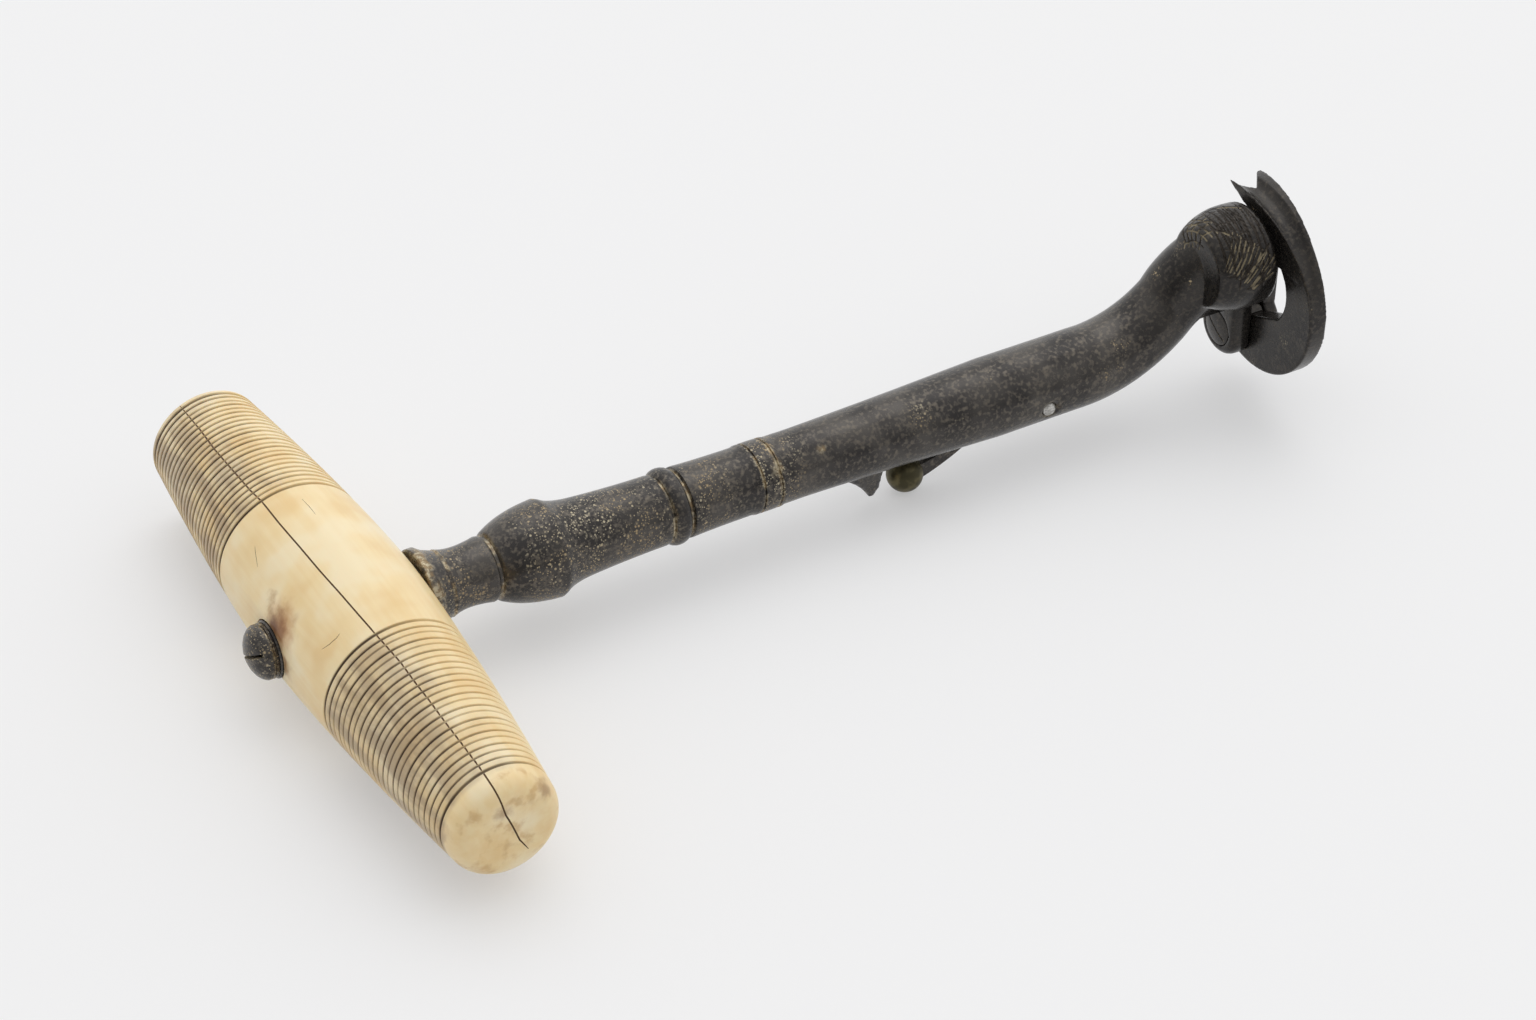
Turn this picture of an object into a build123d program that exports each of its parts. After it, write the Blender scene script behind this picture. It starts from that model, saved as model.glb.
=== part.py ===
from build123d import *
from math import cos, radians, sin
import os

# A tooth key: a steel shaft cranked near its tip, an ivory cross handle, and a hooked claw.
# Millimetres. While a piece is made, the shaft lies along +X, the handle along Y, and the
# point where their two axes cross is the zero. The last section moves the zero under the
# middle of the whole key, down on the surface that the handle and the catch knob lie on.
# The handle is turned by hand: its near end, at -Y, is longer and has a plain cap.

# Handle, turned from one piece of ivory
near_end_y = 46.7
far_end_y = 42.7
belly_radius = 11.1
swell_loss = 0.0098
swell_power = 1.55
groove_start = 15.7
near_groove_end = 42.6
far_groove_end = 41.4
groove_width = 0.8
groove_depth = 0.38
near_face_radius = 5.0
far_face_radius = 6.9
seat_x = 10.5

# Tang, washer and slotted nut. The handle's hole is bored a little below its middle
tang_radius = 2.6
tang_z = -1.2
tang_end_x = -12.6
washer_seat_x = -10.0
washer_radius = 3.95
washer_thickness = 0.8
nut_radius = 3.75
nut_rim_height = 1.2
nut_tip_x = -13.9
nut_slot_width = 0.6
nut_slot_depth = 1.0
nut_slot_turn = -20

# Straight part of the shaft
foot_radius = 5.8
neck_radius = 4.15
bulb_radius = 6.8
taper_radius = 4.9
bead_radius = 5.35
bead_start_x = 46.5
bead_end_x = 49.1
band_radius = 4.9
stem_radius = 4.76
swell_start_x = 68.0
swell_middle_x = 82.0
swell_middle_radius = 5.08
swell_end_x = 98.0
swell_radius = 5.62

# Crank
crank_start_x = 112.9
crank_bend_radius = 20.0
crank_angle = 46.0
bend_start_radius = 5.58
bend_end_radius = 4.9
neck_length = 5.0

# Bolster, the scored pad that bears on the gum: a barrel with rounded ends
bolster_radius = 7.35
bolster_y = -3.8
bolster_z = 13.75
bolster_start_x = 129.0
bolster_widest_x = 135.5
bolster_end_x = 137.8
bolster_start_radius = 5.6
bolster_face_radius = 6.75

# Clevis under the bolster, and the claw's screw
pivot_y = -0.3
pivot_z = -1.2
cheek_radius = 4.3
near_cheek_x = 136.1
gap_start_x = 138.9
gap_end_x = 141.9
far_cheek_x = 144.2
bridge_z = 5.1
web_half_width = 2.4
screw_radius = 1.65
screw_head_radius = 2.7
screw_head_depth = 1.2
screw_slot_width = 0.6

# Claw
claw_thickness = 2.7
claw_middle_x = 140.4
claw_tip_width = 5.4
eye_radius = 4.15
eye_hole_radius = 1.72
eye_step_radius = 3.0
tip_y = 2.3
tip_z = 21.87

# Thumb catch: a flat bolt in a saw cut under the shaft, with a brass ball
bolt_thickness = 2.0
cut_width = 2.2
bolt_travel = 1.8
bolt_rear_x = 97.0
bolt_top_z = 1.2
bolt_bend_x = 110.0
bolt_knee_x = 118.5
bolt_knee_z = 2.2
nose_start_x = 125.5
nose_low_z = 2.0
nose_high_z = 3.8
nose_end_x = 140.6
cut_end_x = 130.4
knob_x = 85.2
knob_radius = 2.6
pin_x = 105.1
pin_z = -1.2
pin_radius = 1.0
spring_rear_x = 89.1
spring_front_x = 95.1
spring_low_z = -3.3
spring_shoulder_z = -1.7
spring_top_z = -0.8
spring_leaf = 0.35
spring_width = 1.8

# Beak, the fixed thorn in front of which the knob stops
beak_rear_x = 71.5
beak_root_z = -3.0
beak_tip_x = 79.7
beak_tip_z = -9.95
beak_front_x = 80.6

floor_z = -belly_radius
far_reach = 60.0

AXIS_Y = Axis((0, 0, 0), (0, 1, 0))
AXIS_X = Axis((0, 0, 0), (1, 0, 0))


def along_x(x, radius, length, y=0.0, z=0.0):
    """A round bar along X that starts at x."""
    return Pos(x + length / 2, y, z) * Rot(0, 90, 0) * Cylinder(radius, length)


def block(x0, x1, y0, y1, z0, z1):
    """A box between two corners."""
    centre = Pos((x0 + x1) / 2, (y0 + y1) / 2, (z0 + z1) / 2)
    return centre * Box(x1 - x0, y1 - y0, z1 - z0)


def flat_bar(outline, thickness):
    """An outline drawn in the XZ plane, given an even thickness about Y = 0."""
    face = make_face(outline)
    return extrude(face, thickness / 2, dir=(0, 1, 0), both=True)


def handle_radius(y):
    """Radius of the turned handle, y from its middle."""
    return belly_radius - swell_loss * abs(y) ** swell_power


def handle_side(side, groove_end, lip_y, bulge, end_rim):
    """One half of the handle's outline, from the plain middle to the rim of its end face.
    A band of fine turned lines lies there; the outline has its two deepest, which bound it."""
    points = []
    for y in (groove_start, groove_end):
        points.append((handle_radius(y), side * (y - groove_width / 2)))
        points.append((handle_radius(y) - groove_depth, side * y))
        points.append((handle_radius(y), side * (y + groove_width / 2)))
    lip = (handle_radius(lip_y), side * lip_y)
    rounding = ThreePointArc(lip, (bulge[0], side * bulge[1]), (end_rim[0], side * end_rim[1]))
    return [Polyline(*points, lip), rounding]


def make_handle():
    near_rim = (near_face_radius, near_end_y)
    far_rim = (far_face_radius, far_end_y)
    near = handle_side(-1, near_groove_end, 43.8, (6.75, near_end_y - 1.0), near_rim)
    far = handle_side(1, far_groove_end, 42.0, (7.65, far_end_y - 0.3), far_rim)
    belly_end = groove_start - groove_width / 2
    belly = ThreePointArc(
        (handle_radius(groove_start), -belly_end),
        (belly_radius, 0),
        (handle_radius(groove_start), belly_end),
    )
    core = Polyline((far_face_radius, far_end_y), (0, far_end_y), (0, -near_end_y),
                    (near_face_radius, -near_end_y))
    turned = revolve(make_face(Curve() + [belly, *far, core, *near]), AXIS_Y)
    # A flat is filed on each side of the middle, and the washer's is sunk a little deeper
    turned -= block(seat_x, far_reach, -far_reach, far_reach, -far_reach, far_reach)
    turned -= block(-far_reach, -seat_x, -far_reach, far_reach, -far_reach, far_reach)
    turned -= along_x(washer_seat_x - 5, washer_radius + 0.1, 5, 0, tang_z)
    return turned - along_x(-far_reach, tang_radius, 2 * far_reach, 0, tang_z)


def make_washer():
    start_x = washer_seat_x - washer_thickness
    ring = along_x(start_x, washer_radius, washer_thickness, 0, tang_z)
    ring = chamfer(ring.edges().filter_by(GeomType.CIRCLE).sort_by(Axis.X)[0], 0.2)
    return ring - along_x(-far_reach, tang_radius, far_reach, 0, tang_z)


def make_nut():
    base_x = washer_seat_x - washer_thickness
    rim_x = base_x - nut_rim_height
    rim = Polyline((nut_tip_x, 0), (base_x, 0), (base_x, nut_radius), (rim_x, nut_radius))
    dome = ThreePointArc((rim_x, nut_radius), (nut_tip_x + 0.6, nut_radius * 0.62), (nut_tip_x, 0))
    nut = Pos(0, 0, tang_z) * revolve(make_face(rim + dome), AXIS_X)
    nut -= along_x(tang_end_x, tang_radius, far_reach, 0, tang_z)
    slot = Box(2 * nut_slot_depth, far_reach, nut_slot_width)
    return nut - Pos(nut_tip_x, 0, tang_z) * Rot(nut_slot_turn, 0, 0) * slot


def make_turned_shaft():
    # The outline runs from the foot, on the handle's flat, to where the crank starts
    outline = Curve() + [
        Polyline((seat_x, 0), (seat_x, foot_radius), (seat_x + 1.1, foot_radius), (12.5, 5.15),
                 (14.6, 4.5)),
        ThreePointArc((14.6, 4.5), (17.0, neck_radius), (20.2, 4.5)),
        Polyline((20.2, 4.5), (20.7, 4.25), (21.2, 4.25), (21.5, 4.8)),
        ThreePointArc((21.5, 4.8), (24.8, 6.12), (29.3, bulb_radius)),
        Polyline((29.3, bulb_radius), (29.9, 6.65)),
        ThreePointArc((29.9, 6.65), (31.4, 5.92), (34.0, 5.43)),
        ThreePointArc((34.0, 5.43), (39.6, 5.08), (bead_start_x - 0.6, taper_radius)),
        Polyline((bead_start_x - 0.6, taper_radius), (bead_start_x - 0.3, 4.6), (bead_start_x, 4.6)),
        Polyline((bead_start_x, 4.6), (bead_start_x + 0.4, bead_radius - 0.2),
                 (bead_start_x + 1.0, bead_radius), (bead_end_x - 1.0, bead_radius),
                 (bead_end_x - 0.4, bead_radius - 0.2), (bead_end_x, 4.6),
                 (bead_end_x + 0.3, 4.6), (bead_end_x + 0.6, 5.0)),
        ThreePointArc((bead_end_x + 0.6, 5.0), (54.0, 4.82), (59.3, stem_radius)),
        Polyline((59.3, stem_radius), (59.5, band_radius), (60.0, band_radius),
                 (60.2, 4.65), (60.4, band_radius), (62.6, band_radius), (62.8, 4.65),
                 (63.0, band_radius), (63.5, band_radius), (63.7, stem_radius),
                 (swell_start_x, stem_radius), (swell_middle_x, swell_middle_radius),
                 (swell_end_x, swell_radius), (crank_start_x, bend_start_radius),
                 (crank_start_x, 0), (seat_x, 0)),
    ]
    tang = along_x(tang_end_x, tang_radius, seat_x - tang_end_x, 0, tang_z)
    return revolve(make_face(outline), AXIS_X) + tang


def ring_at(x, z, radius, angle=0.0, y=0.0):
    """A round section of the shaft, square to a direction that climbs at the angle."""
    direction = (cos(radians(angle)), 0, sin(radians(angle)))
    return Plane(origin=(x, y, z), x_dir=(0, 1, 0), z_dir=direction) * Circle(radius)


def crank_point(angle):
    """A point of the crank's centre line, the angle counted from where the bend starts."""
    x = crank_start_x + crank_bend_radius * sin(radians(angle))
    z = crank_bend_radius * (1 - cos(radians(angle)))
    return x, z


def make_crank():
    # The bend tapers slightly, then the neck widens again into the bolster
    steps = 4
    bend = []
    for i in range(steps + 1):
        angle = crank_angle * i / steps
        x, z = crank_point(angle)
        taper = (bend_start_radius - bend_end_radius) * i / steps
        bend.append(ring_at(x, z, bend_start_radius - taper, angle))
    x, z = crank_point(crank_angle)
    rise = radians(crank_angle)
    neck = [
        ring_at(x, z, bend_end_radius, crank_angle),
        ring_at(x + neck_length * cos(rise), z + neck_length * sin(rise) + 0.3, 5.5, crank_angle, -0.9),
        ring_at(134.2, 13.5, 6.2, 30.0, -3.4),
    ]
    return loft(bend) + loft(neck)


def make_bolster():
    start = (bolster_start_x, bolster_start_radius)
    widest = (bolster_widest_x, bolster_radius)
    rim = (bolster_end_x, bolster_face_radius)
    outline = Curve() + [
        ThreePointArc(start, (bolster_start_x + 2.4, 6.8), widest),
        Polyline(widest, (bolster_end_x - 0.6, bolster_radius - 0.1), rim,
                 (bolster_end_x, 0), (bolster_start_x, 0), start),
    ]
    return Pos(0, bolster_y, bolster_z) * revolve(make_face(outline), AXIS_X)


def make_clevis():
    # The near cheek is wide and rounded, the far one a thinner ear on a narrow web
    near_length = gap_start_x - near_cheek_x
    near = along_x(near_cheek_x, cheek_radius, near_length, pivot_y, pivot_z)
    near += block(near_cheek_x, gap_start_x, pivot_y - cheek_radius, pivot_y + cheek_radius,
                  pivot_z, bolster_z - 5)
    face = near.faces().sort_by(Axis.X)[0]
    near = fillet(face.edges().sort_by(Axis.Z)[:-1], 1.4)
    far = along_x(gap_end_x, cheek_radius, far_cheek_x - gap_end_x, pivot_y, pivot_z)
    far = chamfer(far.edges().filter_by(GeomType.CIRCLE).sort_by(Axis.X)[-1], 0.5)
    web = block(gap_end_x, far_cheek_x, pivot_y - web_half_width, pivot_y + web_half_width,
                pivot_z, bridge_z + 3.4)
    bridge = block(gap_start_x - 2, far_cheek_x, pivot_y - web_half_width,
                   pivot_y + web_half_width, bridge_z, bridge_z + 3.4)
    ear = far + web + bridge
    return near + ear


def make_beak():
    outline = Curve() + [
        ThreePointArc((beak_rear_x, beak_root_z), (76.4, -6.3), (beak_tip_x - 0.5, beak_tip_z)),
        ThreePointArc((beak_tip_x - 0.5, beak_tip_z), (beak_tip_x, beak_tip_z - 0.1),
                      (beak_tip_x + 0.4, beak_tip_z + 0.3)),
        Polyline((beak_tip_x + 0.4, beak_tip_z + 0.3), (beak_front_x, -8.3),
                 (beak_front_x, beak_root_z), (beak_rear_x, beak_root_z)),
    ]
    blade = flat_bar(Plane.XZ * outline, 5.0)
    # Seen end on, it narrows from a wide root to a blunt edge
    low_z = beak_tip_z - 0.2
    wedge = Polyline((-2.4, beak_root_z), (2.4, beak_root_z), (0.7, low_z), (-0.7, low_z),
                     (-2.4, beak_root_z))
    limits = Plane.YZ.offset(beak_rear_x - 1) * make_face(wedge)
    return blade & extrude(limits, beak_front_x - beak_rear_x + 2)


def bolt_outline():
    """Side view of the flat bolt, from its knob end to the nose that bars the claw."""
    return Curve() + [
        Polyline((knob_x - 1.4, -9.4), (knob_x + 1.4, -9.6)),
        ThreePointArc((knob_x + 1.4, -9.6), (90.6, -8.1), (95.6, -5.3)),
        Polyline((95.6, -5.3), (111.0, -5.1)),
        ThreePointArc((111.0, -5.1), (121.0, -2.9), (129.0, nose_low_z)),
        Polyline((129.0, nose_low_z), (nose_end_x, nose_low_z), (nose_end_x, nose_high_z),
                 (nose_start_x, nose_high_z)),
        ThreePointArc((nose_start_x, nose_high_z), (bolt_knee_x, bolt_knee_z),
                      (bolt_bend_x, bolt_top_z)),
        Polyline((bolt_bend_x, bolt_top_z), (bolt_rear_x, bolt_top_z), (bolt_rear_x, -3.7)),
        ThreePointArc((bolt_rear_x, -3.7), (91.4, -5.9), (knob_x - 1.4, -7.6)),
        Polyline((knob_x - 1.4, -7.6), (knob_x - 1.4, -9.4)),
    ]


def make_bolt():
    bar = flat_bar(Plane.XZ * bolt_outline(), bolt_thickness)
    # The pin's hole is long enough for the bolt's travel
    start_x = pin_x
    end_x = pin_x + bolt_travel
    clear = pin_radius + 0.1
    for x in (start_x, end_x):
        bar -= Pos(x, 0, pin_z) * Rot(90, 0, 0) * Cylinder(clear, cut_width)
    return bar - block(start_x, end_x, -cut_width, cut_width, pin_z - clear, pin_z + clear)


def make_saw_cut():
    """The room for the bolt: open underneath, shifted back by the bolt's travel."""
    gap = 0.2
    shift = bolt_travel + gap
    spring_room_z = spring_top_z + gap
    outline = Polyline(
        (spring_rear_x, -far_reach),
        (spring_rear_x, spring_room_z),
        (bolt_rear_x - shift, spring_room_z),
        (bolt_rear_x - shift, bolt_top_z + gap),
        (bolt_bend_x - shift, bolt_top_z + gap),
        (bolt_knee_x - shift, bolt_knee_z + 2 * gap),
        (nose_start_x - shift, nose_high_z + gap),
        (cut_end_x, nose_high_z + gap),
        (cut_end_x, -far_reach),
        (spring_rear_x, -far_reach),
    )
    cut = flat_bar(Plane.XZ * outline, cut_width)
    nose_way = block(nose_start_x, gap_start_x + 0.1, -cut_width / 2, cut_width / 2,
                     nose_low_z - 0.15, nose_high_z + 0.15)
    return cut + nose_way


def make_shaft():
    shaft = make_turned_shaft() + make_crank() + make_bolster() + make_clevis() + make_beak()
    shaft -= make_saw_cut()
    shaft -= Pos(pin_x, 0, pin_z) * Rot(90, 0, 0) * Cylinder(pin_radius, far_reach)
    # Countersinks take the pin's riveted ends
    for side in (-1, 1):
        sink = Pos(pin_x, side * 5.6, pin_z) * Rot(-90 * side, 0, 0)
        shaft -= sink * Cone(pin_radius, pin_radius + 1.2, 1.2)
    # The screw's head lies flush in the near cheek
    shaft -= along_x(near_cheek_x - 1, screw_radius, far_reach, pivot_y, pivot_z)
    shaft -= along_x(near_cheek_x - 1, screw_head_radius, screw_head_depth + 1, pivot_y, pivot_z)
    return shaft


def make_screw():
    length = far_cheek_x + 0.2 - near_cheek_x
    screw = along_x(near_cheek_x, screw_radius, length, pivot_y, pivot_z)
    head_start = near_cheek_x - 0.25
    screw += along_x(head_start, screw_head_radius, screw_head_depth + 0.25, pivot_y, pivot_z)
    screw = chamfer(screw.edges().filter_by(GeomType.CIRCLE).sort_by(Axis.X)[0], 0.25)
    slot = Pos(head_start, pivot_y, pivot_z) * Rot(33, 0, 0) * Box(1.4, far_reach, screw_slot_width)
    return screw - slot


def make_pin():
    pin = Pos(pin_x, 0, pin_z) * Rot(90, 0, 0) * Cylinder(pin_radius, 10.8)
    return chamfer(pin.edges().filter_by(GeomType.CIRCLE), 0.3)


def make_spring():
    # A bent leaf, drawn as short as the bolt presses it, its rear leg on the end of the saw cut
    middle_x = (spring_rear_x + spring_front_x) / 2
    inner_rear_x = spring_rear_x + spring_leaf
    inner_front_x = spring_front_x - spring_leaf
    outline = Curve() + [
        Line((spring_rear_x, spring_low_z), (spring_rear_x, spring_shoulder_z)),
        ThreePointArc((spring_rear_x, spring_shoulder_z), (middle_x, spring_top_z),
                      (spring_front_x, spring_shoulder_z)),
        Polyline((spring_front_x, spring_shoulder_z), (spring_front_x, spring_low_z),
                 (inner_front_x, spring_low_z), (inner_front_x, spring_shoulder_z - 0.1)),
        ThreePointArc((inner_front_x, spring_shoulder_z - 0.1),
                      (middle_x, spring_top_z - spring_leaf),
                      (inner_rear_x, spring_shoulder_z - 0.1)),
        Polyline((inner_rear_x, spring_shoulder_z - 0.1), (inner_rear_x, spring_low_z),
                 (spring_rear_x, spring_low_z)),
    ]
    return flat_bar(Plane.XZ * outline, spring_width)


def make_knob():
    return Pos(knob_x, 0, floor_z + knob_radius) * Sphere(knob_radius) - flat_bar(
        Plane.XZ * bolt_outline(), bolt_thickness)


def make_claw():
    # The hook's outline is drawn in the YZ plane, from the tip down its back to the heel, and
    # from the eye up its inner edge
    tip = (tip_y, tip_z)
    left = (-17.37, 9.5)
    bottom = (-3.98, -5.59)
    heel = (pivot_y - 0.2, pivot_z - eye_radius)
    root = (-3.7, 2.1)
    hollow_low = (-10.0, 5.45)
    hollow_high = (-10.58, 12.11)
    throat = (-1.06, 20.07)
    hook = Curve() + [
        ThreePointArc(tip, (-11.04, 19.82), left),
        ThreePointArc(left, (-13.5, -1.65), bottom),
        Polyline(bottom, heel, (pivot_y, pivot_z), root, hollow_low),
        ThreePointArc(hollow_low, (-11.25, 9.3), hollow_high),
        ThreePointArc(hollow_high, (-6.65, 16.45), throat),
        Line(throat, tip),
    ]
    start = Plane(origin=(claw_middle_x - claw_tip_width, 0, 0), x_dir=(0, 1, 0), z_dir=(1, 0, 0))
    blank = extrude(start * make_face(hook), 2 * claw_tip_width)
    # Seen from above, the plate widens into the forked tip
    half = claw_thickness / 2
    tip_half = claw_tip_width / 2
    right_side = Polyline((half, -20), (half, -14), (half + 0.3, -10), (tip_half, tip_y + 0.1))
    end = Line((tip_half, tip_y + 0.1), (-tip_half, tip_y + 0.1))
    back = Line((-half, -20), (half, -20))
    plan = Pos(claw_middle_x, 0, 14) * make_face(right_side + mirror(right_side, Plane.YZ) + end + back)
    flared = blank & extrude(plan, 20)
    plate = blank & block(claw_middle_x - half, claw_middle_x + half, -20, 20, -20, 14)
    claw = plate + flared
    # A V notch parts the two prongs
    notch = Polyline((claw_middle_x, -0.6), (claw_middle_x - tip_half, tip_y + 1.2),
                     (claw_middle_x + tip_half, tip_y + 1.2), (claw_middle_x, -0.6))
    claw -= extrude(Pos(0, 0, 12) * make_face(notch), 20)
    # A hollow is ground down the back from the notch, nearer to the left ridge, and runs out
    hollow_y = -1.34
    hollow_z = 3.6
    hollow_plane = Plane(origin=(claw_middle_x - 0.8, hollow_y, hollow_z + 19.73),
                         x_dir=(1, 0, 0), z_dir=(0, 1, 0))
    hollow_axis = Axis((0, hollow_y, hollow_z), (1, 0, 0))
    claw -= revolve(hollow_plane * Circle(1.9), hollow_axis, 360)
    # The eye turns on the screw; in its stepped rim the bolt's nose bars the swing
    eye = along_x(claw_middle_x - half, eye_radius, claw_thickness, pivot_y, pivot_z)
    step = along_x(claw_middle_x - half, eye_step_radius, claw_thickness, pivot_y, pivot_z)
    away = block(claw_middle_x - half, claw_middle_x + half, pivot_y - 0.9, 20, pivot_z - 2.4, 20)
    eye = (eye - away) + step
    claw += eye
    return claw - along_x(gap_start_x - 2, eye_hole_radius, far_reach, pivot_y, pivot_z)


nodes = {
    "handle": make_handle(),
    "tang_washer": make_washer(),
    "tang_nut": make_nut(),
    "shaft": make_shaft(),
    "claw": make_claw(),
    "claw_screw": make_screw(),
    "catch_bolt": make_bolt(),
    "catch_knob": make_knob(),
    "guide_pin": make_pin(),
    "return_spring": make_spring(),
}

os.makedirs("parts", exist_ok=True)
middle_x = (nut_tip_x + far_cheek_x + 0.2) / 2
middle_y = (far_end_y - near_end_y) / 2
to_row = Pos(-middle_x, -middle_y, -floor_z)
for name, shape in nodes.items():
    export_step(to_row * shape, "parts/" + name + ".step")

print("zero moved by", -middle_x, -middle_y, -floor_z)
print("claw pivot", round(pivot_y - middle_y, 4), round(pivot_z - floor_z, 4))
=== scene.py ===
import math
import random

import bpy
from mathutils import Matrix, Vector
from mathutils.kdtree import KDTree


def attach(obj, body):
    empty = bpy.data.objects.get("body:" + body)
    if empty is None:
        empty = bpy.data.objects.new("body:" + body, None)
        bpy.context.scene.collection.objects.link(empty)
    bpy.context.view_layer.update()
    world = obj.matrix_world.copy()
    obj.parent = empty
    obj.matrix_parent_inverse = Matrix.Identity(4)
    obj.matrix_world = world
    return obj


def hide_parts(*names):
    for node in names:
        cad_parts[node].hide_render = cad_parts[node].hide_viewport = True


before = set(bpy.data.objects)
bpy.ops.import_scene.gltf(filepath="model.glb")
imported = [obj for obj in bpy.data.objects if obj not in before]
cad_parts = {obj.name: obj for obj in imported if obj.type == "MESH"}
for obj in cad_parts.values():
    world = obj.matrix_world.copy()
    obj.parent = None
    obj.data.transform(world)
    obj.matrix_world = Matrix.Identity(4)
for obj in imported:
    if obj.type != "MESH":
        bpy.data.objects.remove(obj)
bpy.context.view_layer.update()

# The camera: a long lens on a stand, to the left of the key and above it.
camera_data = bpy.data.cameras.new("camera")
camera_data.lens = 110.36
camera_data.sensor_width = 36.0
camera_data.clip_start = 0.02
camera_data.clip_end = 20.0
camera = bpy.data.objects.new("camera", camera_data)
bpy.context.scene.collection.objects.link(camera)
bpy.context.scene.camera = camera
to_right = Vector((0.86554, -0.50031, 0.02318))
to_up = Vector((0.29868, 0.55278, 0.77796))
to_back = -Vector((0.40203, 0.66643, -0.62789))
turn_camera = Matrix((to_right, to_up, to_back)).transposed().to_4x4()
camera.matrix_world = Matrix.Translation((-0.258185, -0.423005, 0.404901)) @ turn_camera

# Handle. It is turned by hand from one piece of ivory, longer on its near side, and a flat is
# filed on each side of its middle. Dirt has settled in the turned lines, and the ivory has
# dried and cracked along its grain.
# The drawing is in millimetres, its zero where the axes of handle and shaft cross.
axes_cross = Vector((-0.06525, 0.0020, 0.0111))
along_shaft = Vector((1, 0, 0))
along_handle = Vector((0, 1, 0))
belly_radius = 11.1
narrowing = 0.0098
narrowing_power = 1.55
near_end = -46.7
near_lip = 43.8
near_face_radius = 5.0
far_end = 42.7
far_lip = 42.0
far_face_radius = 6.9
flat_x = 10.5
lines_per_side = 24


def pick(piece):
    bpy.ops.object.select_all(action="DESELECT")
    piece.select_set(True)
    bpy.context.view_layer.objects.active = piece


def turn(name, outline, axis, steps):
    """Turns a piece as on a lathe: half its outline is drawn point by point, each point a
    place along the axis and a radius, and swept once round."""
    bpy.ops.object.select_all(action="DESELECT")
    bpy.ops.mesh.primitive_circle_add(vertices=3, radius=0.1)
    piece = bpy.context.object
    piece.name = name
    points = [axis * along + Vector((0, 0, radius)) for along, radius in outline]
    bpy.ops.object.mode_set(mode="EDIT")
    bpy.ops.mesh.select_all(action="SELECT")
    bpy.ops.mesh.merge(type="CENTER")
    bpy.ops.transform.translate(value=points[0])
    for start, end in zip(points, points[1:]):
        bpy.ops.mesh.extrude_region_move(TRANSFORM_OT_translate={"value": end - start})
    bpy.ops.mesh.select_all(action="SELECT")
    bpy.ops.mesh.spin(steps=steps, angle=math.tau, center=(0, 0, 0), axis=axis)
    bpy.ops.mesh.select_all(action="SELECT")
    bpy.ops.mesh.remove_doubles(threshold=0.002)
    bpy.ops.mesh.normals_make_consistent(inside=False)
    bpy.ops.object.mode_set(mode="OBJECT")
    return piece


def put_in_place(piece):
    """Turns the drawing's millimetres into metres, and sets the piece where it belongs."""
    piece.data.transform(Matrix.Translation(axes_cross) @ Matrix.Scale(0.001, 4))


def thin_rod(name, points, thickness):
    """A rod along some points, pointed at both ends, that cuts a groove where it lies."""
    curve = bpy.data.curves.new(name, "CURVE")
    curve.dimensions = "3D"
    curve.bevel_depth = thickness / 2
    curve.bevel_resolution = 1
    curve.use_fill_caps = True
    line = curve.splines.new("POLY")
    line.points.add(len(points) - 1)
    for number, (point, place) in enumerate(zip(line.points, points)):
        point.co = (*place, 1)
        from_end = min(number, len(points) - 1 - number)
        point.radius = min(1.0, 0.35 + 0.45 * from_end)
    rod = bpy.data.objects.new(name, curve)
    bpy.context.scene.collection.objects.link(rod)
    pick(rod)
    bpy.ops.object.convert(target="MESH")
    bpy.ops.object.mode_set(mode="EDIT")
    bpy.ops.mesh.select_all(action="SELECT")
    bpy.ops.mesh.remove_doubles(threshold=0.001)
    bpy.ops.mesh.normals_make_consistent(inside=False)
    bpy.ops.object.mode_set(mode="OBJECT")
    return bpy.context.object


def combine(piece, tool, operation):
    """Cuts a tool's shape from a piece, or joins it on. New faces keep the tool's material."""
    pick(piece)
    change = piece.modifiers.new("change", "BOOLEAN")
    change.object = tool
    change.operation = operation
    change.solver = "MANIFOLD"
    change.material_mode = "TRANSFER"
    bpy.ops.object.modifier_apply(modifier=change.name)
    bpy.data.objects.remove(tool)


def handle_radius(y):
    """The smooth radius at a place along the handle, before any line is turned in it."""
    return belly_radius - narrowing * abs(y) ** narrowing_power


def turned_lines(side, last_line):
    """The outline across one side's turned lines. The first and the last are the deepest."""
    first_line = 15.7
    spacing = (last_line - first_line) / (lines_per_side - 1)
    points = []
    for number in range(lines_per_side):
        edge_line = number in (0, lines_per_side - 1)
        by_hand = 0.05 * math.sin(2.9 * number + side)
        y = first_line + spacing * number
        if not edge_line:
            y += by_hand
        half_width = 0.30 if edge_line else 0.23 + 0.3 * by_hand
        depth = 0.34 if edge_line else 0.22 + by_hand
        radius = handle_radius(y)
        points.append((side * (y - half_width), radius - 0.02))
        points.append((side * (y - 0.45 * half_width), radius - depth))
        points.append((side * (y + 0.45 * half_width), radius - depth))
        points.append((side * (y + half_width), radius - 0.02))
        if not edge_line:
            points.append((side * (y + spacing / 2), handle_radius(y + spacing / 2)))
    return points


def rounded_end(side, lip, end, face_radius):
    """From the last line's lip round to the rim of the end face, and to the axis."""
    points = []
    bulge = handle_radius(lip) - face_radius
    for step in range(9):
        angle = math.radians(90 * step / 8)
        y = lip + (abs(end) - lip) * math.sin(angle)
        points.append((side * y, face_radius + bulge * math.cos(angle)))
    for share in (0.96, 0.66, 0.33, 0.0):
        points.append((end + side * 0.05 * (share - 1), face_radius * share))
    return points


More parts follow.
